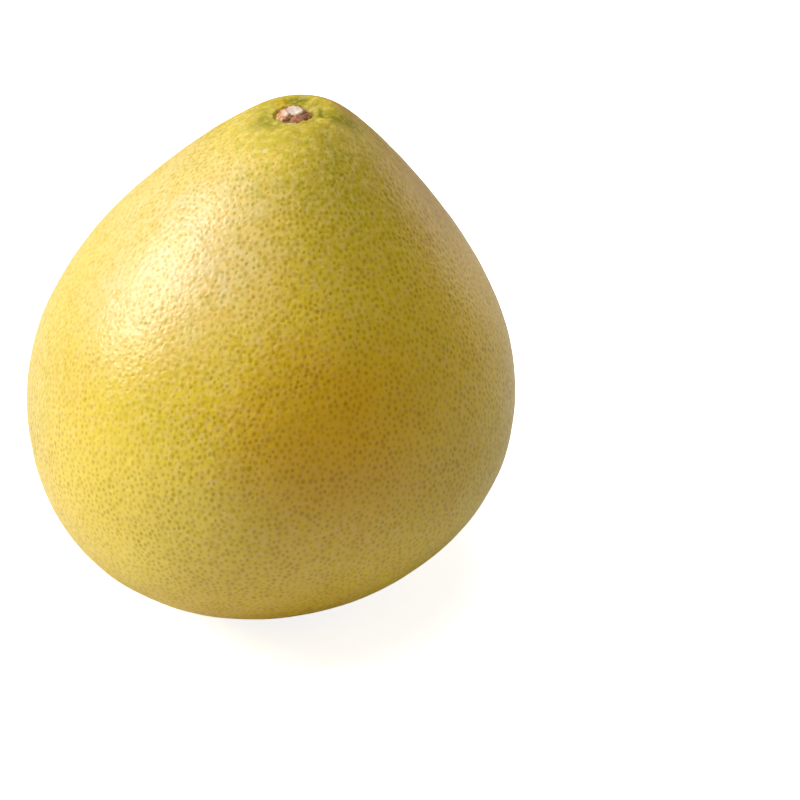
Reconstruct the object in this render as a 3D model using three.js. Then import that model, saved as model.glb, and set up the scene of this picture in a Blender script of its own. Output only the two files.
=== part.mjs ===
// Whole pomelo, pear-shaped, standing on the small flat spot at its blossom end.
// Millimetres, +Z up, +X to the fruit's right, +Y to its back, origin under its middle.
import * as THREE from 'three';

// Size of the body
const WIDTH = 149.8;             // across the widest part
const HEIGHT = 163.4;            // blossom end to crown, before crater and flat spot

// Profile: radius = sin t (1 - taper c - waist c^2 - slope c^3 + crown c^8), c = cos t
const TAPER = 0.266;             // narrows the stem half, fills the blossom half
const WAIST = 0.14;              // draws both ends in
const SLOPE = 0.095;             // straightens the shoulder under the neck
const CROWN = 0.272;             // broadens the top of the neck
const CROWN_POWER = 8;           // keeps the crown term to the neck

// How the fruit departs from a turned body
const LEAN = 0.65;               // sideways shift along the axis
const BOW = 0.4;                 // sideways bow of the axis
const HOOK = 5.79;               // sideways hook of the neck and the blossom end
const FOOT = 5.08;               // brings the blossom end back under the fruit
const NOD = 5;                   // forward nod of the neck
const BASE_SLANT = 4.32;         // slant of the blossom end, side to side
const NECK_SLANT = 5.92;         // slant of the shoulder, side to side
const LOBES = [                  // [lobes round the fruit, share of the radius, phase]
  [2, 0.011, 2.27],
  [3, 0.011, -0.62],
  [5, 0.004, 4.0],
];

// Crater the stem button sits in, with a swollen collar round it
const CRATER_DEPTH = 3.4;        // floor below the unbroken crown
const FLOOR_RADIUS = 5.7;        // level floor, just clear of the button
const WALL_RADIUS = 6.25;        // top of the steep wall round the button
const WALL_SHARE = 0.52;         // share of the depth the wall makes up
const LIP_RADIUS = 13.5;         // where the crater meets the crown
const COLLAR_HEIGHT = 0.6;
const COLLAR_RADIUS = 12.5;
const COLLAR_WIDTH = 5;

// Folds that run out of the crater like the gathers of a purse
const FOLD_START = 6.3;          // they start here
const FOLD_FULL = 9;             // and are deepest here
const FOLDS = [                  // [direction and half-width in degrees, depth, where it has died out]
  [92, 12, 1.1, 13], [31, 9, 0.7, 14], [-14, 10, 0.9, 27], [-44, 9, 0.4, 27], [-82, 10, 0.35, 24],
  [-118, 10, 0.45, 24], [-142, 10, 0.7, 27], [-165, 10, 0.9, 24], [150, 9, 0.6, 14], [62, 7, 0.5, 13],
  [178, 32, 0.6, 34], [4, 24, 0.45, 36],
];

// Flat spot the fruit stands on, with the scar of the blossom in it
const FLAT_DEPTH = 1.25;         // taken off the blossom end
const SCAR_RADIUS = 3.2;
const SCAR_DEPTH = 1;

// Woody button: five-lobed calyx with the broken stem in a socket on top
const CALYX_RADIUS = 5.2;
const CALYX_LOBES = 5;
const CALYX_LOBE_SHARE = 0.07;   // how far the lobes stand out, share of the radius
const CALYX_LOBE_PHASE = 0.9;
const CALYX_DEPTH_SHARE = 0.88;  // front to back against side to side
const CALYX_HEIGHT = 2.3;
const SOCKET_RADIUS = 2.8;
const SOCKET_DEPTH = 0.8;
const STEM_RADIUS = 2.5;
const STEM_HEIGHT = 1.2;
const STEM_SLANT_X = 0.08;       // rise of the broken face, to the right
const STEM_SLANT_Y = 0.12;       // and to the back
const GAP = 0.3;                 // between the pieces

// Mesh density
const MERIDIANS = 96;
const RINGS = [                  // [polar angle in degrees the band ends at, rings in it]
  [5.9, 3], [6.5, 3], [14, 7], [26, 6], [150, 24], [170, 5], [177.5, 4], [180, 3],
];
const BUTTON_SEGMENTS = 40;

const { clamp, degToRad, lerp, smoothstep } = THREE.MathUtils;

function profileRadius(polar) {
  const c = Math.cos(polar);
  const crown = CROWN * Math.max(c, 0) ** CROWN_POWER;
  return Math.sin(polar) * (1 - TAPER * c - WAIST * c ** 2 - SLOPE * c ** 3 + crown);
}

// polar angles of the rings, closer together at the crater and the flat spot
function ringAngles() {
  const angles = [0];
  let start = 0;
  for (const [end, count] of RINGS) {
    for (let i = 1; i <= count; i++) angles.push(start + (end - start) * i / count);
    start = end;
  }
  return angles.map(degToRad);
}

// how deep the folds are at a place round the crater
function foldDepth(radius, around) {
  const start = smoothstep(radius, FOLD_START, FOLD_FULL);
  let depth = 0;
  for (const [direction, halfWidth, deep, end] of FOLDS) {
    const turned = Math.abs(around - degToRad(direction));
    const apart = Math.min(turned, 2 * Math.PI - turned);
    const side = Math.exp(-((apart / degToRad(halfWidth)) ** 2));
    depth += deep * side * start * (1 - smoothstep(radius, FOLD_FULL, end));
  }
  return depth;
}

// height of the stem half: crater, collar and folds
function stemEndHeight(height, radius, around) {
  const floor = HEIGHT / 2 - CRATER_DEPTH;
  const wall = WALL_SHARE * smoothstep(radius, FLOOR_RADIUS, WALL_RADIUS);
  const slope = (1 - WALL_SHARE) * smoothstep(radius, FLOOR_RADIUS, LIP_RADIUS);
  return lerp(floor, height, wall + slope)
    + COLLAR_HEIGHT * Math.exp(-(((radius - COLLAR_RADIUS) / COLLAR_WIDTH) ** 2))
    - foldDepth(radius, around);
}

// height of the blossom half: flat spot and scar
function blossomEndHeight(height, radius) {
  const flat = FLAT_DEPTH - HEIGHT / 2;
  return Math.max(height, flat) + SCAR_DEPTH * (1 - smoothstep(radius, 0, SCAR_RADIUS));
}

// moves a point of the turned body to its place on the real, uneven one
function shapeFruit(point) {
  const radius = Math.hypot(point.x, point.y);
  const around = Math.atan2(point.y, point.x);
  const c = clamp(point.z / (HEIGHT / 2), -1, 1);
  const s = Math.sqrt(1 - c * c);
  const stemEnd = c > 0;

  let swell = 0;
  for (const [count, share, phase] of LOBES) swell += share * Math.cos(count * around - phase);
  const reach = radius * (1 + s * s * swell);

  const slant = (stemEnd ? NECK_SLANT : BASE_SLANT) * c * c * s * Math.cos(around);
  const height = stemEnd
    ? stemEndHeight(point.z + slant, radius, around)
    : blossomEndHeight(point.z + slant, radius);

  const spine = LEAN * c + BOW * c ** 2 + HOOK * c ** 3 + (stemEnd ? 0 : FOOT * c ** 6);
  const nod = stemEnd ? NOD * c ** 2 : 0;
  point.set(reach * Math.cos(around) + spine, reach * Math.sin(around) - nod, height);
}

// lobed outline of the calyx, shallower from front to back
function shapeCalyx(point) {
  const outward = smoothstep(Math.hypot(point.x, point.y), SOCKET_RADIUS, CALYX_RADIUS);
  const around = CALYX_LOBES * Math.atan2(point.y, point.x) + CALYX_LOBE_PHASE;
  const lobes = 1 + CALYX_LOBE_SHARE * outward * Math.cos(around);
  point.x *= lobes;
  point.y *= lobes * lerp(1, CALYX_DEPTH_SHARE, outward);
}

// slanted broken face of the stem
function shapeStem(point) {
  if (point.z > STEM_HEIGHT / 2) point.z += STEM_SLANT_X * point.x + STEM_SLANT_Y * point.y;
}

// turns a profile of [radius, height] pairs about +Z and passes it through a shaping function
function turned(profile, segments, shape) {
  const points = profile.map(([radius, height]) => new THREE.Vector2(radius, height));
  const geometry = new THREE.LatheGeometry(points, segments).rotateX(Math.PI / 2);
  const positions = geometry.getAttribute('position');
  const point = new THREE.Vector3();
  for (let i = 0; i < positions.count; i++) {
    shape(point.fromBufferAttribute(positions, i));
    positions.setXYZ(i, point.x, point.y, point.z);
  }
  geometry.computeVertexNormals();
  return geometry;
}

function fruitGeometry() {
  const angles = ringAngles().reverse();
  const widest = Math.max(...angles.map(profileRadius));
  const profile = angles.map((polar) => [
    WIDTH / 2 * profileRadius(polar) / widest,
    HEIGHT / 2 * Math.cos(polar),
  ]);
  profile.at(0)[0] = 0;
  profile.at(-1)[0] = 0;
  return turned(profile, MERIDIANS, shapeFruit);
}

function calyxGeometry() {
  const rim = CALYX_RADIUS;
  const top = CALYX_HEIGHT;
  return turned([
    [0, 0], [rim - 0.6, 0], [rim, 0.45], [rim - 0.1, 0.95], [rim - 0.6, 1.45], [rim - 1.4, 1.85],
    [SOCKET_RADIUS + 0.4, top - 0.1], [SOCKET_RADIUS, top],
    [SOCKET_RADIUS, top - SOCKET_DEPTH], [0, top - SOCKET_DEPTH],
  ], BUTTON_SEGMENTS, shapeCalyx);
}

function stemGeometry() {
  return turned([
    [0, 0], [STEM_RADIUS, 0], [STEM_RADIUS, STEM_HEIGHT - 0.3], [STEM_RADIUS - 0.4, STEM_HEIGHT],
    [0, STEM_HEIGHT],
  ], BUTTON_SEGMENTS, shapeStem);
}

function piece(name, geometry, material) {
  const mesh = new THREE.Mesh(geometry, material);
  mesh.name = name;
  return mesh;
}

const fruit = fruitGeometry();
const calyx = calyxGeometry();
const stem = stemGeometry();

// the button stands on the crater floor, the stem in the socket of the calyx
const poleX = LEAN + BOW + HOOK;
const calyxBase = HEIGHT / 2 - CRATER_DEPTH + GAP;
calyx.translate(poleX, -NOD, calyxBase);
stem.translate(poleX, -NOD, calyxBase + CALYX_HEIGHT - SOCKET_DEPTH + GAP);

// origin on the ground, under the middle of the whole
const bounds = new THREE.Box3();
for (const geometry of [fruit, calyx, stem]) {
  geometry.computeBoundingBox();
  bounds.union(geometry.boundingBox);
}
const middle = bounds.getCenter(new THREE.Vector3());
for (const geometry of [fruit, calyx, stem]) {
  geometry.translate(-middle.x, -middle.y, -bounds.min.z);
}

const rind = new THREE.MeshStandardMaterial({ name: 'rind', color: 0xd9c050, roughness: 0.45 });
const bark = new THREE.MeshStandardMaterial({ name: 'calyx_bark', color: 0x9a7455, roughness: 0.8 });
const wood = new THREE.MeshStandardMaterial({ name: 'stem_wood', color: 0xd8cba6, roughness: 0.85 });

const group = new THREE.Group();
group.name = 'pomelo';
group.add(piece('fruit', fruit, rind));
group.add(piece('calyx', calyx, bark));
group.add(piece('stem_stub', stem, wood));

export default group;
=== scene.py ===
import math

import bpy
import numpy as np
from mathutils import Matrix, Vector, noise
from mathutils.bvhtree import BVHTree
from mathutils.geometry import delaunay_2d_cdt
from mathutils.kdtree import KDTree


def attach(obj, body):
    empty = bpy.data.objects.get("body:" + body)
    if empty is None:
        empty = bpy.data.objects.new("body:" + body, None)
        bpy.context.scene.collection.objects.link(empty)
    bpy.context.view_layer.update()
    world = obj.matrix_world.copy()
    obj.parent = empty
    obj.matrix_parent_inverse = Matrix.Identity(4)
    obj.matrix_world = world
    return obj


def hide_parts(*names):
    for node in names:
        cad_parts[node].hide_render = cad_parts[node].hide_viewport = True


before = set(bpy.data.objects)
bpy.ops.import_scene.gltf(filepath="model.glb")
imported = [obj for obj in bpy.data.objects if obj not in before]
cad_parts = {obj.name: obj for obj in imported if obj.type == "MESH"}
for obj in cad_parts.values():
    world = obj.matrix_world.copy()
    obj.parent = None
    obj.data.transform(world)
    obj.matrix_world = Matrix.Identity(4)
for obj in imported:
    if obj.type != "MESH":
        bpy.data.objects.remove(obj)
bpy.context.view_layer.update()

MM = 0.001

# Places in the fruit, in metres
STEM = Vector((6.64, -5.19, 158.75)) * MM      # middle of the crater floor
HEART = Vector((0, 0, 71)) * MM                # middle of the flesh

# Oil glands of the rind: how far apart they are at a distance from the stem, in metres
PITCHES = [(7.5 * MM, 0.45 * MM), (10 * MM, 0.7 * MM), (17 * MM, 1.2 * MM), (44 * MM, 1.5 * MM)]
BODY_PITCH = PITCHES[-1][1]
GLAND_DEPTH = 0.07 * MM                        # how far a gland is sunk
GLAND_SEED = 11
BODY_TRIES = 170000                            # places tried for a gland, all over
CROWN_TRIES = 400000                           # and for the finer ones of the crown

# Relief of the skin
SWELLS = [                                     # height and size in millimetres, start of the noise
    (0.3, 34, (0, 0, 0)),
    (0.2, 13, (7, 3, 1)),
    (0.07, 5, (2, 8, 5)),
]
CRATER_LUMPS = 0.45 * MM                       # height of the lumps round the stem button
LUMP_SIZE = 2 * MM
LIP_RISE = 0.55 * MM                           # scalloped lip of the crater in front of the button
LIP_RADIUS, LIP_WIDTH = 6.9 * MM, 0.8 * MM
LIP_SCALLOPS = 11
SHOULDER_DROP = 0.55 * MM                      # the crown falls away a little on both sides
SHOULDER_RADIUS, SHOULDER_WIDTH = 22 * MM, 7 * MM

# Camera, as the photograph was taken
VIEWED = Vector((-0.205, -0.192, 80.45)) * MM  # middle of the fruit's axis
CAMERA_ELEVATION = math.radians(29)
CAMERA_DISTANCE = 1.15
PIXELS_PER_METRE = 3297                        # at the fruit
FRAME_PIXELS = 800
VIEWED_AT = (271.06, 345.48)                   # where the axis' middle falls in the frame
SENSOR_WIDTH = 36                              # in millimetres, as the lens is

# Sockets and settings that many nodes share
FACTOR, UNDER, OVER = 0, 6, 7                  # a mix of two colours: its inputs
MIXED = {"out": 2, "data_type": "RGBA"}        # and its output
EASED = {"out": "Result", "interpolation_type": "SMOOTHSTEP"}


# Small tools

def linear(code):
    """Turns an sRGB hex colour into the linear values a shader takes."""
    channels = [int(code[i:i + 2], 16) / 255 for i in (1, 3, 5)]
    return [c / 12.92 if c <= 0.04045 else ((c + 0.055) / 1.055) ** 2.4 for c in channels] + [1]


def add(tree, kind, inputs, out=0, **settings):
    """Adds a node and gives back one output. Inputs are values, hex colours or sockets to link from."""
    made = tree.nodes.new(kind)
    for name, value in settings.items():
        setattr(made, name, value)
    for name, value in inputs.items():
        if isinstance(value, bpy.types.NodeSocket):
            tree.links.new(value, made.inputs[name])
        else:
            made.inputs[name].default_value = linear(value) if isinstance(value, str) else value
    return made.outputs[out]


def smooth(low, high, x):
    """Smooth step of numbers or arrays: 0 at low, 1 at high."""
    t = np.clip((x - low) / (high - low), 0, 1)
    return t * t * (3 - 2 * t)


def only(piece):
    """Makes a piece the only selected object."""
    bpy.ops.object.select_all(action="DESELECT")
    piece.select_set(True)
    bpy.context.view_layer.objects.active = piece


def refined(piece):
    """Rounds a piece off with two levels of subdivision."""
    only(piece)
    made = piece.modifiers.new("Subsurf", "SUBSURF")
    made.levels = made.render_levels = 2
    bpy.ops.object.modifier_apply(modifier=made.name)


# The rind's form

def rind_form():
    """The CAD fruit's shape as one smooth surface."""
    form = bpy.data.objects.new("rind_form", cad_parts["fruit"].data.copy())
    bpy.context.collection.objects.link(form)
    form.data.materials.clear()
    only(form)
    bpy.ops.object.mode_set(mode="EDIT")
    bpy.ops.mesh.select_all(action="SELECT")
    bpy.ops.mesh.remove_doubles(threshold=0.01 * MM)
    bpy.ops.mesh.tris_convert_to_quads()
    bpy.ops.object.mode_set(mode="OBJECT")
    refined(form)
    return form


def scattered(mesh, rng, count):
    """Random points on a mesh, evenly spread over its area."""
    mesh.calc_loop_triangles()
    places = np.empty(len(mesh.vertices) * 3)
    mesh.vertices.foreach_get("co", places)
    corners = np.empty(len(mesh.loop_triangles) * 3, int)
    mesh.loop_triangles.foreach_get("vertices", corners)
    a, b, c = places.reshape(-1, 3)[corners.reshape(-1, 3)].transpose(1, 0, 2)
    area = np.linalg.norm(np.cross(b - a, c - a), axis=1)
    pick = rng.choice(len(area), count, p=area / area.sum())
    u, v = rng.random((2, count))
    fold = u + v > 1
    u[fold], v[fold] = 1 - u[fold], 1 - v[fold]
    return a[pick] + u[:, None] * (b - a)[pick] + v[:, None] * (c - a)[pick]


def from_stem(points):
    """How far points are from the crater floor."""
    return np.linalg.norm(points - np.array(STEM), axis=1)


def gland_places(mesh, rng):
    """Gland middles: no two closer than the pitch of their part of the rind."""
    points = scattered(mesh, rng, BODY_TRIES)
    crown = scattered(mesh, rng, CROWN_TRIES)
    points = np.vstack([points, crown[from_stem(crown) < PITCHES[2][0]]])
    pitch = np.interp(from_stem(points), *zip(*PITCHES))
    tree = KDTree(len(points))
    for i, point in enumerate(points):
        tree.insert(point, i)
    tree.balance()
    free = np.ones(len(points), bool)
    kept = []
    for i, point in enumerate(points):
        if free[i]:
            kept.append(i)
            for _, near, _ in tree.find_range(point, pitch[i]):
                free[near] = False
    return points[kept], pitch[kept]


def joined_up(points):
    """Triangles between the glands, round the whole fruit, facing out.
    The last point is the one under the stem."""
    ways = points - np.array(HEART)
    ways /= np.linalg.norm(ways, axis=1)[:, None]
    up = ways[-1]
    side = np.cross(up, (0, 1, 0))
    side /= np.linalg.norm(side)
    x, y, z = ways @ side, ways @ np.cross(up, side), ways @ up
    flat = np.stack([x, y], 1)[:-1] / (1 - z[:-1])[:, None]
    _, _, faces, _, _, _ = delaunay_2d_cdt([Vector(p) for p in flat], [], [], 0, 1e-9)
    faces = np.array(faces)
    # the open edge, far out on the flat, closes on the point under the stem
    edges = np.concatenate([faces[:, [0, 1]], faces[:, [1, 2]], faces[:, [2, 0]]])
    there = {(a, b) for a, b in edges.tolist()}
    rim = [(b, a, len(points) - 1) for a, b in edges.tolist() if (b, a) not in there]
    faces = np.concatenate([faces, rim])
    a, b, c = points[faces].transpose(1, 0, 2)
    out = np.einsum("ij,ij->i", np.cross(b - a, c - a), a - np.array(HEART)).sum() > 0
    return faces if out else faces[:, ::-1]


def gland_fans(faces, count):
    """A ring of faces round each gland, and the gland each face belongs to.
    A ring's corners are the middles of the triangles, numbered after the glands."""
    middle = np.arange(len(faces)) + count
    start = np.concatenate([faces[:, 0], faces[:, 1], faces[:, 2]])
    end = np.concatenate([faces[:, 1], faces[:, 2], faces[:, 0]])
    left = np.tile(middle, 3)
    order = {pair: i for i, pair in enumerate(zip(start.tolist(), end.tolist()))}
    other = np.array([order[pair] for pair in zip(end.tolist(), start.tolist())])
    return np.stack([start, left[other], left], 1), start


def unevenness(p):
    """Slow rise and fall of a grown surface, in metres."""
    q = Vector(p) / MM
    return MM * sum(height * noise.noise(q / size + Vector(start)) for height, size, start in SWELLS)


def skin_relief(places):
    """How far each place of the rind stands out or in, without the gland pits."""
    apart = from_stem(places)
    radius = np.hypot(places[:, 0] - STEM.x, places[:, 1] - STEM.y)
    around = np.arctan2(places[:, 1] - STEM.y, places[:, 0] - STEM.x)
    # slow swells, dying out towards the crater and the flat spot
    rise = np.array([unevenness(p) for p in places])
    rise *= smooth(10 * MM, 42 * MM, apart) * smooth(2 * MM, 22 * MM, places[:, 2])
    # small lumps in the crater
    crater = 1 - smooth(6 * MM, 13 * MM, apart)
    rise += crater * [CRATER_LUMPS * noise.noise(Vector(p) / LUMP_SIZE) for p in places]
    # scalloped lip in front of the button, and a drop on both shoulders of the crown
    lip = np.exp(-((radius - LIP_RADIUS) / LIP_WIDTH) ** 2)
    lip *= smooth(-0.1, 0.5, -np.sin(around - 0.35)) * (0.8 + 0.2 * np.cos(LIP_SCALLOPS * around))
    shoulder = np.exp(-((radius - SHOULDER_RADIUS) / SHOULDER_WIDTH) ** 2) * abs(np.cos(around))
    return rise + (LIP_RISE * lip - SHOULDER_DROP * shoulder) * (places[:, 2] > HEART.z)


def rind():
    """The rind: every oil gland is a small pit of its own in the mesh."""
    rng = np.random.default_rng(GLAND_SEED)
    form = rind_form()
    surface = BVHTree.FromObject(form, bpy.context.evaluated_depsgraph_get())
    glands, pitch = gland_places(form.data, rng)
    floor = surface.ray_cast(HEART, (STEM - HEART).normalized())[0]
    glands = np.vstack([glands, floor])
    pitch = np.append(pitch, PITCHES[0][1])
    faces = joined_up(glands)
    between = glands[faces].mean(axis=1)
    between = [surface.ray_cast(HEART, (Vector(p) - HEART).normalized())[0] for p in between]
    fans, owner = gland_fans(faces, len(glands))
    places = np.vstack([glands, between])

    mesh = bpy.data.meshes.new("rind")
    mesh.from_pydata(places.tolist(), [], fans.tolist())
    normals = np.empty(len(places) * 3)
    mesh.vertex_normals.foreach_get("vector", normals)
    normals = normals.reshape(-1, 3)

    # glands differ in size, the larger ones are sunk deeper, and there are hardly any in the crater
    size = np.clip(rng.normal(1, 0.2, len(glands)), 0.55, 1.5) * pitch / BODY_PITCH
    size *= 0.2 + 0.8 * smooth(10 * MM, 28 * MM, from_stem(glands))
    rise = skin_relief(places)
    rise[:len(glands)] -= GLAND_DEPTH * size
    places += normals * rise[:, None]
    places[:, 2] = places[:, 2].clip(0)
    mesh.vertices.foreach_set("co", places.ravel())

    # each face knows the middle, size and tint of its gland, and the way from blossom to stem
    upright = normals[:len(glands)]
    along = np.array(STEM) - glands
    along -= upright * np.einsum("ij,ij->i", along, upright)[:, None]
    along /= np.linalg.norm(along, axis=1)[:, None] + 1e-9
    for name, kind, values in (
        ("gland", "FLOAT_VECTOR", places[:len(glands)]),
        ("gland_axis", "FLOAT_VECTOR", along),
        ("gland_size", "FLOAT", size),
        ("gland_tint", "FLOAT", rng.random(len(glands))),
    ):
        made = mesh.attributes.new(name, kind, "FACE")
        made.data.foreach_set("vector" if kind == "FLOAT_VECTOR" else "value", values[owner].ravel())

    piece = bpy.data.objects.new("rind", mesh)
    bpy.context.collection.objects.link(piece)
    bpy.data.objects.remove(form)
    only(piece)
    bpy.ops.object.shade_smooth()
    return piece


# The stem button

def raised(name, rings, sides):
    """A closed turned blank, rounded off: a disc drawn up ring by ring.
    The rings are [radius, height] pairs in millimetres."""
    bpy.ops.object.select_all(action="DESELECT")
    radius, height = rings[0]
    bpy.ops.mesh.primitive_circle_add(
        vertices=sides, radius=radius * MM, fill_type="TRIFAN", location=(0, 0, height * MM))
    blank = bpy.context.object
    blank.name = blank.data.name = name
    bpy.ops.object.transform_apply()
    bpy.ops.object.mode_set(mode="EDIT")
    bpy.ops.mesh.select_all(action="DESELECT")
    bpy.ops.mesh.select_non_manifold()
    for after, high in rings[1:]:
        bpy.ops.mesh.extrude_edges_move(
            TRANSFORM_OT_translate={"value": (0, 0, (high - height) * MM)})
        if after:
            share = after / radius
            bpy.ops.transform.resize(value=(share, share, 1), center_override=(0, 0, 0))
        else:
            bpy.ops.mesh.merge(type="CENTER")
        radius, height = after or radius, high
    bpy.ops.mesh.select_all(action="SELECT")
    bpy.ops.mesh.normals_make_consistent(inside=False)
    bpy.ops.object.mode_set(mode="OBJECT")
    refined(blank)
    return blank


def shaped(piece, way):
    """Passes every vertex, in millimetres, through a function.
    The piece then stands on the crater floor."""
    for vertex in piece.data.vertices:
        vertex.co = way(vertex.co / MM) * MM + STEM
    only(piece)
    bpy.ops.object.shade_smooth()
    return piece


def calyx():
    """Dry calyx: a woody knob with crimped edges. Its large lobe has grown up to the stem,
    and a cleft parts it from a low lobe on the right."""
    piece = raised("calyx_button", [
        (4.4, -0.2), (4.95, 0.05), (5.2, 0.4), (5.15, 0.75), (4.95, 1.1), (4.6, 1.4), (4.1, 1.75),
        (3.5, 2.05), (3.05, 2.25), (2.75, 2.35), (2.6, 2.3), (2.52, 2.0), (2.45, 1.4), (1.2, 1.35),
        (0, 1.35),
    ], 60)
    cleft_foot = Vector((-2.4, -4.1))
    cleft_way = Vector((0.77, 0.64))
    cleft_side = Vector((0.64, -0.77))

    def shape(p):
        radius, around = math.hypot(p.x, p.y), math.atan2(p.y, p.x)
        out = float(smooth(2.6, 5.2, radius))
        top = float(smooth(0.3, 1.2, p.z))
        # five lobes with grooves between them and a crimped rim
        lobe = math.cos(5 * around + 0.9 + 0.5 * math.sin(around))
        grooves = 0.35 * max(0, -lobe - 0.1) ** 2 * math.sin(math.pi * min(out * 0.9 + 0.1, 1))
        crimp = 0.17 * math.sin(15 * around + 2 * math.sin(3 * around)) * smooth(3.9, 5.0, radius)
        lumps = noise.noise(p * 0.5 + Vector((4, 1, 9)))
        rough = noise.noise(p * 1.5 + Vector((1, 6, 2)))
        uneven = (0.3 * lumps + 0.1 * rough) * min(radius / 3, 1)
        # the large lobe rises to the stem at the front left, the cleft passes in front of the stem
        large = 0.8 * math.exp(-((radius - 2.5) / 1.3) ** 2) * max(0, math.cos(around + 2.6)) ** 0.7
        aside = (p.xy - cleft_foot).dot(cleft_side)
        along = (p.xy - cleft_foot).dot(cleft_way)
        deep = 1.1 * math.exp(-(aside / 0.5) ** 2) * float(smooth(-1.5, 1, along))
        small = 0.45 * math.exp(-((p.x - 2.3) / 1.5) ** 2 - ((p.y + 3.1) / 0.9) ** 2)
        # the outline follows the lobes and reaches out on the left
        left = max(0, math.cos(around - 2.95)) ** 4
        wide = 1 + out * (0.07 * lobe + 0.03 * math.cos(3 * around + 2.0) + 0.09 * left)
        p = Vector((p.x * wide, p.y * wide * (1 - 0.1 * out), p.z))
        p.z += top * (crimp + uneven - 1.5 * grooves + large - deep + small)
        return p

    return shaped(piece, shape)


def stem_stub():
    """Broken stem: a short round peg with a torn, slanting face and a flake at its front."""
    piece = raised("stem_peg", [
        (2.3, 1.2), (2.45, 1.5), (2.5, 2.2), (2.5, 2.6), (2.4, 2.85), (2.1, 2.95), (1.5, 3.0),
        (0.8, 3.0), (0, 3.0),
    ], 48)

    def shape(p):
        top = float(smooth(2.2, 2.9, p.z))
        fibre = noise.noise(Vector((p.x * 0.9, p.y * 2.4, 3)))
        fibre += 0.5 * noise.noise(Vector((p.x * 2, p.y * 5, 7)))
        bark = 0.12 * noise.noise(Vector((p.x * 1.6, p.y * 1.6, p.z * 0.5)))
        flake = math.exp(-((p.x - 1.3) / 1.1) ** 2 - ((p.y + 1.5) / 0.6) ** 2)
        p = Vector((p.x * (1 + bark), p.y * (1 + bark), p.z))
        p.z += top * (-0.06 * p.x + 0.12 * p.y + 0.14 * fibre + 0.45 * flake)
        return p

    return shaped(piece, shape)


# Materials

def shader(name):
    """A new material with its node tree, its surface shader and the place on the piece."""
    made = bpy.data.materials.new(name)
    made.use_nodes = True
    tree = made.node_tree
    return made, tree, tree.nodes["Principled BSDF"], add(tree, "ShaderNodeTexCoord", {}, "Object")


def from_axis(tree, where):
    """The way from the stem to a point: whole, in its parts, its level part and how long that is."""
    axis = add(tree, "ShaderNodeVectorMath", {0: where, 1: STEM}, operation="SUBTRACT")
    parts = add(tree, "ShaderNodeSeparateXYZ", {0: axis}).node.outputs
    level = add(tree, "ShaderNodeCombineXYZ", {"X": parts["X"], "Y": parts["Y"]})
    radius = add(tree, "ShaderNodeVectorMath", {0: level}, "Value", operation="LENGTH")
    return axis, parts, level, radius


# Colours of the rind, painted highlights and painted shade among them: middle in millimetres, whole
# within, gone beyond, colour, strength
GROWN_COLOURS_AND_PAINTED_HIGHLIGHT = [
    ((6.6, -5.2, 158.8), 10, 62, "#b2a62c", 0.8),      # green neck
    ((-32, -30, 127), 12, 50, "#e4d4ba", 0.65),        # painted highlight: a pale patch on the left shoulder
    ((-70, -26, 86), 10, 44, "#d0c468", 0.5),          # and the duller cheek under it
    ((-36, -57, 92), 6, 26, "#cec63a", 0.35),          # greener places on it
    ((-54, -4, 118), 4, 22, "#cfc83c", 0.4),
]
RIPE_COLOURS_AND_PAINTED_LIGHT_SHADE = [
    ((40, -38, 120), 8, 54, "#bca212", 0.42),          # painted shade: duller right shoulder, away from the key light
    ((70, 4, 108), 14, 62, "#ecbc48", 0.6),            # tan, weathered right flank
    ((44, 2, 140), 6, 40, "#c89224", 0.55),
    ((38, -60, 82), 10, 58, "#daac20", 0.5),           # golden front: partly ripe colour, partly painted shade low on the front
    ((15, -67, 86), 8, 42, "#e2aa0a", 0.66),
    ((-42, -56, 58), 12, 46, "#fbe25a", 0.55),         # painted light: a brighter foot on the left
    ((0, -58, 28), 10, 46, "#c8a020", 0.5),            # painted shade: a duller foot in front, low down
    ((-9, -4, 0), 4, 26, "#bdb540", 0.6),              # greener blossom end
]
CRATER_COLOURS_AND_PAINTED_LIGHT_SHADE = [
    ((6.6, -5.2, 158.8), 5, 23, "#a4983a", 0.6),       # darker grey-green round the button
    ((7.4, 3.6, 160.2), 0.6, 4.4, "#6c6c04", 0.9),     # painted shade in the fold behind it
    ((14.7, -5.7, 160.6), 0.8, 4.5, "#94901a", 0.6),   # painted shade in the crease that runs out to the right
    ((18.5, -8.2, 160.6), 0.8, 5, "#86800e", 0.75),
    ((23.4, -7.5, 158.4), 0.8, 5, "#8a7e16", 0.6),
    ((23, 1, 159), 2, 9, "#c49a58", 0.6),              # tan ridge behind the crease
    ((-1.5, -9, 159.4), 1, 6.5, "#8f8a34", 0.65),      # painted shade: grey-green in the hollow on the left
    ((2.6, 1.8, 160.2), 0.8, 4.2, "#c6a01a", 0.65),    # amber slope behind it: partly its colour, partly painted light where the lamp falls on it
    ((9.8, 5.2, 160.8), 0.3, 2, "#d6c488", 0.4),       # painted highlights: pale marks on the ridges and the lip round the button
    ((13, -2.2, 160.5), 0.2, 1.3, "#e4dc9c", 0.5),
    ((6.4, -12.1, 160.1), 0.5, 3, "#d6cc7a", 0.5),
    ((0.1, -0.4, 160), 0.2, 1.1, "#ecdc9c", 0.5),
    # a small pale scuff on the rind
    ((-2.2, -21, 156.2), 0.2, 1.2, "#f2ecd0", 0.3),
    ((6.6, -5.2, 158.8), 5.2, 6.4, "#7c6222", 0.5),    # painted contact shade right against the button
]

# Flecks of the rind: size in millimetres, noise level they start at and are full at, colour, strength
RIND_FLECKS = [
    (48, 0.4, 0.62, "#dcc428", 0.35),
    (14, 0.45, 0.7, "#e2bc48", 0.3),
    (5, 0.45, 0.62, "#ecc85a", 0.3),
    (3, 0.5, 0.64, "#c8a81c", 0.3),
    (1.9, 0.45, 0.62, "#f2d48a", 0.4),
]

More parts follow.
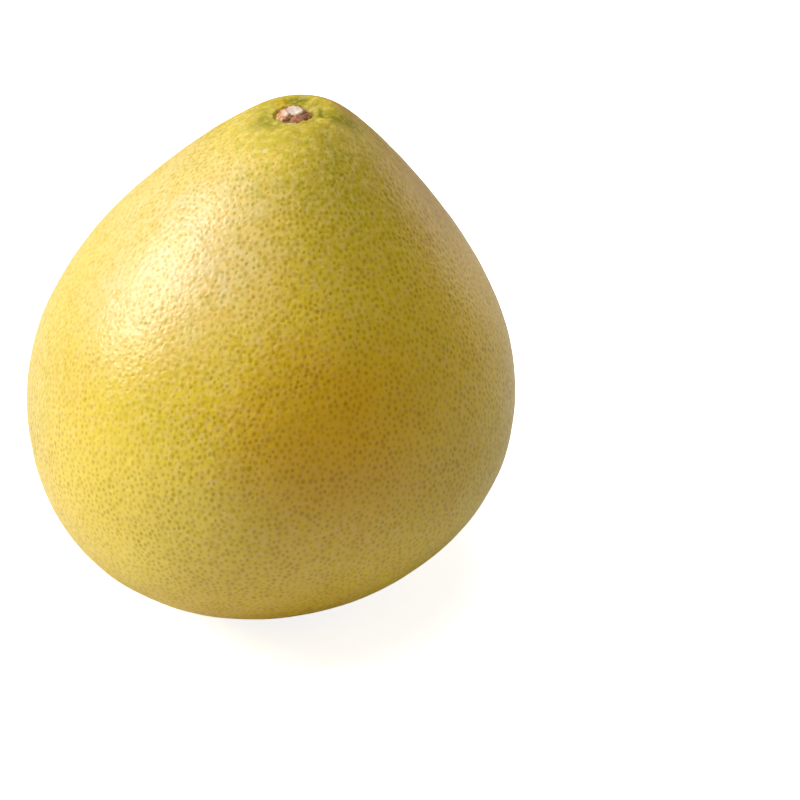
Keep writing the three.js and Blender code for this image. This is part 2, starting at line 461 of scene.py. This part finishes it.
# Mottling of the crown: size in millimetres, colour, strength
CROWN_MOTTLES = [(1.6, "#eadc6c", 0.3), (2.4, "#8f8a1e", 0.25)]

# Where the glands are faint: middle in millimetres, whole within, gone beyond, share lost
FAINT_GLANDS = [((-44, -40, 110), 14, 62, 0.35), ((8, -8, 156), 8, 40, 0.3)]


def citrus_rind():
    """Fresh waxy citrus rind: a soft sheen, yellow going to green, gold and tan,
    with sunken, darker oil glands, and painted highlights and painted shade in its colour."""
    made, tree, surface, where = shader("citrus_rind")
    _, parts, level, _ = from_axis(tree, where)

    def drifted(size, reach):
        """The place moved about at random, so that an outline drawn with it is ragged."""
        moved = add(tree, "ShaderNodeTexNoise", {
            "Vector": where, "Scale": 1 / size, "Detail": 3}, "Color")
        moved = add(tree, "ShaderNodeVectorMath", {
            0: moved, 1: (2 * reach,) * 3, 2: where}, operation="MULTIPLY_ADD")
        return add(tree, "ShaderNodeVectorMath", {0: moved, 1: (reach,) * 3}, operation="SUBTRACT")

    def near(seen, place, whole, gone, most=1):
        """All of it within a distance of a place, in millimetres, and nothing beyond another."""
        apart = add(tree, "ShaderNodeVectorMath", {
            0: seen, 1: Vector(place) * MM}, "Value", operation="DISTANCE")
        return add(tree, "ShaderNodeMapRange", {
            "Value": apart, "From Min": gone * MM, "From Max": whole * MM, "To Max": most}, **EASED)

    def spotted(size, low, high, most=1, seen=where, detail=3):
        """Soft random spots of a size in millimetres."""
        spots = add(tree, "ShaderNodeTexNoise", {
            "Vector": seen, "Scale": 1 / (size * MM), "Detail": detail}, "Fac")
        return add(tree, "ShaderNodeMapRange", {
            "Value": spots, "From Min": low, "From Max": high, "To Max": most}, **EASED)

    # distance from the middle of the gland, shorter along the fruit, so that glands are upright ovals
    middle = add(tree, "ShaderNodeAttribute", {}, "Vector", attribute_name="gland")
    axis = add(tree, "ShaderNodeAttribute", {}, "Vector", attribute_name="gland_axis")
    gland_size = add(tree, "ShaderNodeAttribute", {}, "Fac", attribute_name="gland_size")
    tint = add(tree, "ShaderNodeAttribute", {}, "Fac", attribute_name="gland_tint")
    offset = add(tree, "ShaderNodeVectorMath", {0: where, 1: middle}, operation="SUBTRACT")
    along = add(tree, "ShaderNodeVectorMath", {0: offset, 1: axis}, "Value", operation="DOT_PRODUCT")
    along = add(tree, "ShaderNodeMath", {0: along, 1: -0.2}, operation="MULTIPLY")
    offset = add(tree, "ShaderNodeVectorMath", {0: axis, 1: along, 2: offset}, operation="MULTIPLY_ADD")
    reach = add(tree, "ShaderNodeVectorMath", {0: offset}, "Value", operation="LENGTH")
    reach = add(tree, "ShaderNodeMath", {0: reach, 1: gland_size}, operation="DIVIDE")
    ragged = add(tree, "ShaderNodeTexNoise", {"Vector": where, "Scale": 1 / (0.9 * MM)}, "Fac")
    reach = add(tree, "ShaderNodeMath", {0: ragged, 1: 0.7 * MM, 2: reach}, operation="MULTIPLY_ADD")
    pit = add(tree, "ShaderNodeMapRange", {
        "Value": reach, "From Min": 1.25 * MM, "From Max": 0.3 * MM}, **EASED)

    # ground colour: as it has grown, then flecked, then ripe and weathered, the crater's places on top,
    # with painted highlights and painted shade among these layers
    broad, fine = drifted(12 * MM, 7 * MM), drifted(2.5 * MM, 1.2 * MM)
    layers = [(near(broad, *row[:3]), *row[3:]) for row in GROWN_COLOURS_AND_PAINTED_HIGHLIGHT]
    layers += [(spotted(*row[:3]), *row[3:]) for row in RIND_FLECKS]
    layers += [(near(broad, *row[:3]), *row[3:]) for row in RIPE_COLOURS_AND_PAINTED_LIGHT_SHADE]
    layers += [(near(fine, *row[:3]), *row[3:]) for row in CRATER_COLOURS_AND_PAINTED_LIGHT_SHADE]
    ground = "#edd03e"
    for amount, colour, strength in layers:
        amount = add(tree, "ShaderNodeMath", {0: amount, 1: strength}, operation="MULTIPLY")
        ground = add(tree, "ShaderNodeMix", {FACTOR: amount, UNDER: ground, OVER: colour}, **MIXED)

    # fine lines from the stem down the weathered flank: noise on a ring, drawn out along the height
    ring = add(tree, "ShaderNodeVectorMath", {0: level}, operation="NORMALIZE")
    tall = add(tree, "ShaderNodeCombineXYZ", {"Z": parts["Z"]})
    tall = add(tree, "ShaderNodeVectorMath", {0: tall, 1: (0.35,) * 3}, operation="MULTIPLY")
    drawn = add(tree, "ShaderNodeVectorMath", {
        0: ring, 1: (60 * MM,) * 3, 2: tall}, operation="MULTIPLY_ADD")
    lines = spotted(0.9, 0.42, 0.58, 1, drawn, 1)
    flank = near(where, (42, -4, 144), 14, 52, 0.3)
    lines = add(tree, "ShaderNodeMath", {0: lines, 1: flank}, operation="MULTIPLY")
    ground = add(tree, "ShaderNodeMix", {
        FACTOR: lines, UNDER: ground, OVER: "#b8a888"}, blend_type="MULTIPLY", **MIXED)

    # the crown is finely mottled, pale and olive
    for size, colour, strength in CROWN_MOTTLES:
        mottle, crown = spotted(size, 0.5, 0.62), near(where, (10, -4, 158), 10, 50, strength)
        mottle = add(tree, "ShaderNodeMath", {0: mottle, 1: crown}, operation="MULTIPLY")
        ground = add(tree, "ShaderNodeMix", {FACTOR: mottle, UNDER: ground, OVER: colour}, **MIXED)

    # glands darken the ground: olive ones, and amber ones where the sun has ripened them
    ripe = add(tree, "ShaderNodeMapRange", {"Value": tint, "From Min": 0.6, "From Max": 0.9}, "Result")
    sunny = near(where, (-18, -46, 125), 6, 34)
    ripe = add(tree, "ShaderNodeMath", {0: ripe, 1: sunny}, operation="MULTIPLY")
    gland = add(tree, "ShaderNodeMix", {FACTOR: ripe, UNDER: "#d0c41e", OVER: "#e0b030"}, **MIXED)
    dark = add(tree, "ShaderNodeMapRange", {"Value": tint, "To Min": 1.0, "To Max": 0.65}, "Result")
    dark = add(tree, "ShaderNodeMath", {0: dark, 1: pit}, operation="MULTIPLY")
    for faint in [spotted(9, 0.42, 0.62, 0.35)] + [near(where, *place) for place in FAINT_GLANDS]:
        left = add(tree, "ShaderNodeMath", {0: 1, 1: faint}, operation="SUBTRACT")
        dark = add(tree, "ShaderNodeMath", {0: dark, 1: left}, operation="MULTIPLY")
    colour = add(tree, "ShaderNodeMix", {
        FACTOR: dark, UNDER: ground, OVER: gland}, blend_type="MULTIPLY", **MIXED)

    # relief in millimetres: gland pits, the unevenness between them and the skin's own pores
    uneven = add(tree, "ShaderNodeTexNoise", {
        "Vector": where, "Scale": 1 / (1.8 * MM), "Detail": 1}, "Fac")
    pores = add(tree, "ShaderNodeTexNoise", {
        "Vector": where, "Scale": 1 / (0.5 * MM), "Detail": 2}, "Fac")
    relief = add(tree, "ShaderNodeMath", {0: pit, 1: -0.05}, operation="MULTIPLY")
    relief = add(tree, "ShaderNodeMath", {0: uneven, 1: 0.3, 2: relief}, operation="MULTIPLY_ADD")
    relief = add(tree, "ShaderNodeMath", {0: pores, 1: 0.02, 2: relief}, operation="MULTIPLY_ADD")
    bump = add(tree, "ShaderNodeBump", {"Strength": 1.0, "Distance": MM, "Height": relief})

    # the crown is less waxy than the body
    crown = near(where, STEM / MM, 8, 44)
    matt = add(tree, "ShaderNodeMapRange", {"Value": crown, "To Min": 0.36, "To Max": 0.56}, "Result")

    tree.links.new(colour, surface.inputs["Base Color"])
    tree.links.new(bump, surface.inputs["Normal"])
    tree.links.new(matt, surface.inputs["Roughness"])
    surface.inputs["IOR"].default_value = 1.45
    surface.inputs["Subsurface Weight"].default_value = 0.15
    surface.inputs["Subsurface Radius"].default_value = (2.5 * MM, 1.6 * MM, 0.4 * MM)
    surface.inputs["Subsurface Scale"].default_value = 1.0
    return made


def dry_calyx_bark():
    """Dried woody calyx: satin pinkish tan, browner on the right, with painted shade low down and in its
    cleft, worn to peach on its crimped rim, where the peach also stands in for painted highlights."""
    made, tree, surface, where = shader("dry_calyx_bark")
    axis, parts, _, radius = from_axis(tree, where)
    mottle = add(tree, "ShaderNodeTexNoise", {
        "Vector": where, "Scale": 1 / (1.8 * MM), "Detail": 2, "Roughness": 0.5}, "Fac")
    mottle = add(tree, "ShaderNodeMapRange", {
        "Value": mottle, "From Min": 0.38, "From Max": 0.64}, **EASED)
    violet = add(tree, "ShaderNodeMapRange", {
        "Value": parts["X"], "From Min": 0.5 * MM, "From Max": 4.5 * MM, "To Max": 0.75}, **EASED)
    # painted shade: darker brown low down and in the cleft
    sunken = add(tree, "ShaderNodeMapRange", {
        "Value": parts["Z"], "From Min": 1.9 * MM, "From Max": 1.0 * MM, "To Max": 0.75}, **EASED)

    # the rim is worn to peach in patches, which also stand in for painted highlights on its lumps, and so
    # is one spot of the large lobe
    rim = add(tree, "ShaderNodeMapRange", {
        "Value": radius, "From Min": 4.1 * MM, "From Max": 4.7 * MM, "To Max": 0.85}, **EASED)
    patches = add(tree, "ShaderNodeTexNoise", {
        "Vector": where, "Scale": 1 / (1.1 * MM), "Detail": 1}, "Fac")
    patches = add(tree, "ShaderNodeMapRange", {
        "Value": patches, "From Min": 0.4, "From Max": 0.58}, **EASED)
    rim = add(tree, "ShaderNodeMath", {0: rim, 1: patches}, operation="MULTIPLY")
    worn = add(tree, "ShaderNodeVectorMath", {
        0: axis, 1: Vector((-2.0, -1.4, 3.0)) * MM}, "Value", operation="DISTANCE")
    worn = add(tree, "ShaderNodeMapRange", {
        "Value": worn, "From Min": 2.2 * MM, "From Max": 0.6 * MM, "To Max": 0.8}, **EASED)

    # small dark cracks, which are also the relief
    cracks = add(tree, "ShaderNodeTexNoise", {
        "Vector": where, "Scale": 1 / (0.7 * MM), "Detail": 2, "Roughness": 0.6}, "Fac")
    cracks = add(tree, "ShaderNodeMapRange", {
        "Value": cracks, "From Min": 0.36, "From Max": 0.5}, **EASED)
    dark = add(tree, "ShaderNodeMapRange", {"Value": cracks, "To Min": 0.3, "To Max": 0.0}, "Result")
    bump = add(tree, "ShaderNodeBump", {"Strength": 1.0, "Distance": 0.06 * MM, "Height": cracks})

    colour = "#ae7654"
    for amount, over in (
        (mottle, "#dcaa8a"), (violet, "#7d5048"), (sunken, "#7c4426"), (rim, "#f0b684"),
        (worn, "#ecd0bc"), (dark, "#5e3626"),
    ):
        colour = add(tree, "ShaderNodeMix", {FACTOR: amount, UNDER: colour, OVER: over}, **MIXED)
    tree.links.new(colour, surface.inputs["Base Color"])
    tree.links.new(bump, surface.inputs["Normal"])
    surface.inputs["Roughness"].default_value = 0.42
    return made


def torn_stem_wood():
    """Torn green wood: matt, pale pinkish cream fibres, a painted pinkish shade on the left, inside a
    thin brown bark.
    """
    made, tree, surface, where = shader("torn_stem_wood")
    axis, parts, level, _ = from_axis(tree, where)
    drawn = add(tree, "ShaderNodeVectorMath", {0: level, 1: (0.4, 1, 1)}, operation="MULTIPLY")
    fibres = add(tree, "ShaderNodeTexNoise", {
        "Vector": drawn, "Scale": 1 / (0.45 * MM), "Detail": 3, "Roughness": 0.6}, "Fac")
    pale = add(tree, "ShaderNodeMapRange", {
        "Value": fibres, "From Min": 0.4, "From Max": 0.62}, **EASED)
    cream = add(tree, "ShaderNodeVectorMath", {
        0: axis, 1: Vector((1.6, -1.2, 3.3)) * MM}, "Value", operation="DISTANCE")
    cream = add(tree, "ShaderNodeMapRange", {
        "Value": cream, "From Min": 1.6 * MM, "From Max": 0.5 * MM, "To Max": 0.9}, **EASED)
    # painted shade: pinkish brown on the left of the torn face
    painted_shade_left = add(tree, "ShaderNodeMapRange", {
        "Value": parts["X"], "From Min": -0.5 * MM, "From Max": -2.5 * MM, "To Max": 0.7}, **EASED)
    bark = add(tree, "ShaderNodeMapRange", {
        "Value": parts["Z"], "From Min": 2.6 * MM, "From Max": 2.0 * MM}, **EASED)
    bump = add(tree, "ShaderNodeBump", {"Strength": 1.0, "Distance": 0.05 * MM, "Height": fibres})

    colour = "#d9bfae"
    for amount, over in (
        (pale, "#f2e4da"), (cream, "#f6ecc8"), (painted_shade_left, "#c89e88"), (bark, "#b08468"),
    ):
        colour = add(tree, "ShaderNodeMix", {FACTOR: amount, UNDER: colour, OVER: over}, **MIXED)
    tree.links.new(colour, surface.inputs["Base Color"])
    tree.links.new(bump, surface.inputs["Normal"])
    surface.inputs["Roughness"].default_value = 0.6
    return made


def light_table_acrylic():
    """White opal acrylic of a packshot table: an even white, almost without shadow.
    Its glow lights nothing."""
    made, tree, surface, _ = shader("light_table_acrylic")
    seen = add(tree, "ShaderNodeLightPath", {}, "Is Camera Ray")
    glow = add(tree, "ShaderNodeMath", {0: seen, 1: 0.85}, operation="MULTIPLY")
    tree.links.new(glow, surface.inputs["Emission Strength"])
    surface.inputs["Emission Color"].default_value = linear("#ffffff")
    surface.inputs["Base Color"].default_value = linear("#f0f0f0")
    surface.inputs["Roughness"].default_value = 0.9
    return made


# The pieces

def dressed(piece, material, node):
    """Gives a piece its material, hangs it under the root body and hides the CAD node it stands for."""
    piece.data.materials.clear()
    piece.data.materials.append(material)
    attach(piece, "root")
    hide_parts(node)


dressed(rind(), citrus_rind(), "fruit")
dressed(calyx(), dry_calyx_bark(), "calyx")
dressed(stem_stub(), torn_stem_wood(), "stem_stub")


# Studio

bpy.ops.object.select_all(action="DESELECT")
bpy.ops.mesh.primitive_plane_add(size=8, location=(0, 0, 0))
floor = bpy.context.object
floor.name = "studio_floor"
floor.data.materials.append(light_table_acrylic())


def softbox(name, azimuth, elevation, distance, size, watts, colour, shines):
    """A square area light aimed at the fruit. Azimuth 0 is at the camera, 90 to its right.
    One that doesn't shine is polarised, as in a studio: it lights the rind without a reflection."""
    a, e = math.radians(azimuth), math.radians(elevation)
    way = Vector((math.sin(a) * math.cos(e), -math.cos(a) * math.cos(e), math.sin(e)))
    light = bpy.data.lights.new(name, "AREA")
    light.shape, light.size, light.energy = "SQUARE", size, watts
    light.color = linear(colour)[:3]
    lamp = bpy.data.objects.new(name, light)
    lamp.location = VIEWED + way * distance
    lamp.rotation_euler = (-way).to_track_quat("-Z", "Y").to_euler()
    lamp.visible_glossy = shines
    bpy.context.collection.objects.link(lamp)


softbox("key_softbox", -90, 32, 1.3, 0.5, 14.4, "#fffaf0", True)
softbox("top_softbox", 0, 85, 1.3, 0.8, 12, "#ffffff", False)
softbox("rear_left_softbox", -145, 6, 1.5, 1.0, 2.3, "#ffffff", True)
softbox("rear_right_softbox", 132, 6, 1.5, 0.8, 3, "#ffffff", True)

# a breath of even light from all round, without a reflection
world = bpy.data.worlds.new("studio_air")
world.use_nodes = True
air = world.node_tree.nodes["Background"].inputs
air["Color"].default_value = linear("#ffffff")
air["Strength"].default_value = 0.04
world.cycles_visibility.glossy = False
bpy.context.scene.world = world
bpy.context.scene.view_settings.view_transform = "Standard"

# the camera stands where the photograph's did, turned so that the fruit falls at its place
camera = bpy.data.objects.new("camera", bpy.data.cameras.new("camera"))
bpy.context.collection.objects.link(camera)
back = Vector((0, -math.cos(CAMERA_ELEVATION), math.sin(CAMERA_ELEVATION)))
lift = Vector((0, math.sin(CAMERA_ELEVATION), math.cos(CAMERA_ELEVATION)))
camera.location = VIEWED + back * CAMERA_DISTANCE
right = (FRAME_PIXELS / 2 - VIEWED_AT[0]) / PIXELS_PER_METRE
down = (FRAME_PIXELS / 2 - VIEWED_AT[1]) / PIXELS_PER_METRE
aim = VIEWED + Vector((right, 0, 0)) - lift * down - camera.location
turn = (-back).rotation_difference(aim)
camera.rotation_euler = (turn @ (-back).to_track_quat("-Z", "Y")).to_euler()
camera.data.sensor_width = SENSOR_WIDTH
camera.data.lens = SENSOR_WIDTH * PIXELS_PER_METRE * CAMERA_DISTANCE / FRAME_PIXELS
camera.data.clip_start, camera.data.clip_end = 0.05, 20
bpy.context.scene.camera = camera
